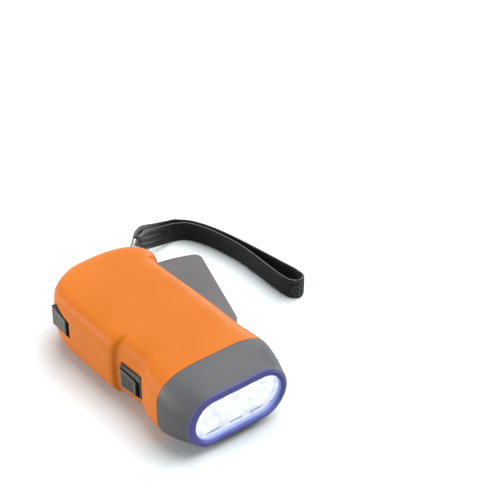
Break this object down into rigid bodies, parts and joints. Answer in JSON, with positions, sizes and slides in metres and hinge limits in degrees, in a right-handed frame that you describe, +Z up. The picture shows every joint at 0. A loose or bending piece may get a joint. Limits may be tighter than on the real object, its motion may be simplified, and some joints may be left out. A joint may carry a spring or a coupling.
{
  "type": "squeeze dynamo torch",
  "caption": "Palm-sized squeeze-lever dynamo torch: rounded two-part case, broad slot-shaped lens in a separate head, sprung side lever, light switch, lever lock and webbing wrist strap.",
  "frame": {"origin": "on the flat underside, below the middle of the head's width and 53.5 mm behind the front lip", "axes": "+Z up from the underside to the top, -Y towards the light's beam, +Y towards the strap end, +X towards the lever side"},
  "size_m": [0.11, 0.1304, 0.032],
  "materials": {
    "orange_case": "satin orange moulded plastic",
    "head_grey": "satin cool grey moulded plastic",
    "lever_grey": "fine matt grey moulded plastic",
    "switch_grey": "satin dark warm grey moulded plastic",
    "lens": "clear polished",
    "reflector": "bright vacuum metallised plastic",
    "led": "clear epoxy",
    "board": "green solder mask",
    "gear_plastic": "natural moulded plastic",
    "steel": "bright drawn",
    "magnet": "sintered dark grey",
    "copper_winding": "enamelled copper wire",
    "cell_sleeve": "shrunk sleeve",
    "nickel": "bright nickel plate",
    "cord": "braided thin cord",
    "webbing": "woven black webbing"
  },
  "bodies": {
    "case": {"top_shell": "orange_case", "bottom_shell": "orange_case", "head_bezel": "head_grey", "lens": "lens", "reflector": "reflector", "led_1": "led", "led_2": "led", "led_3": "led", "led_board": "board", "lever_spring": "steel", "lever_pin": "steel", "coil": "copper_winding", "stator_plate": "steel", "first_axle": "steel", "ratchet_axle": "steel", "flywheel_axle": "steel", "switch_frame": "switch_grey", "switch_body": "steel", "cell_pack": "cell_sleeve", "cell_tab_1": "nickel", "cell_tab_2": "nickel", "case_screw_1": "steel", "case_screw_2": "steel", "case_screw_3": "steel", "case_screw_4": "steel", "strap_post": "steel", "strap_cord": "cord", "strap_crimp": "nickel", "strap_webbing": "webbing"},
    "squeeze_lever": {"lever": "lever_grey"},
    "first_gear_body": {"first_gear": "gear_plastic"},
    "ratchet_gear_body": {"ratchet_pinion": "gear_plastic", "ratchet_wheel": "gear_plastic"},
    "flywheel_body": {"flywheel": "gear_plastic", "ring_magnet": "magnet"},
    "light_switch": {"light_switch_knob": "switch_grey"},
    "lever_lock": {"lever_lock_slider": "switch_grey"}
  },
  "joints": [
    {"name": "lever_swing", "type": "hinge", "parent": "case", "child": "squeeze_lever", "pos_m": [0.0175, -0.019, 0.016], "axis": [0, 0, 1], "range_deg": [0, 17.5], "stiffness_Nm_per_rad": 0.8, "springref_deg": -34.38},
    {"name": "first_gear_spin", "type": "hinge", "parent": "case", "child": "first_gear_body", "pos_m": [-0.00328, -0.007, 0.016], "axis": [0, 0, 1], "range_deg": [-87.5, 0]},
    {"name": "ratchet_spin", "type": "hinge", "parent": "case", "child": "ratchet_gear_body", "pos_m": [-0.01048, 0.00547, 0.016], "axis": [0, 0, 1], "range_deg": [0, 227.5]},
    {"name": "flywheel_spin", "type": "hinge", "parent": "case", "child": "flywheel_body", "pos_m": [-0.00812, 0.01886, 0.016], "axis": [0, 0, 1], "range_deg": [-546, 0]},
    {"name": "light_switch_slide", "type": "slide", "parent": "case", "child": "light_switch", "axis": [0.1392, -0.9903, 0], "range_m": [0, 0.0016]},
    {"name": "lever_lock_slide", "type": "slide", "parent": "case", "child": "lever_lock", "axis": [0, -1, 0], "range_m": [0, 0.0022]}
  ],
  "couplings": [
    {"joint": "first_gear_spin", "follows": "lever_swing", "ratio": -5},
    {"joint": "ratchet_spin", "follows": "lever_swing", "ratio": 13},
    {"joint": "flywheel_spin", "follows": "lever_swing", "ratio": -31.2}
  ]
}
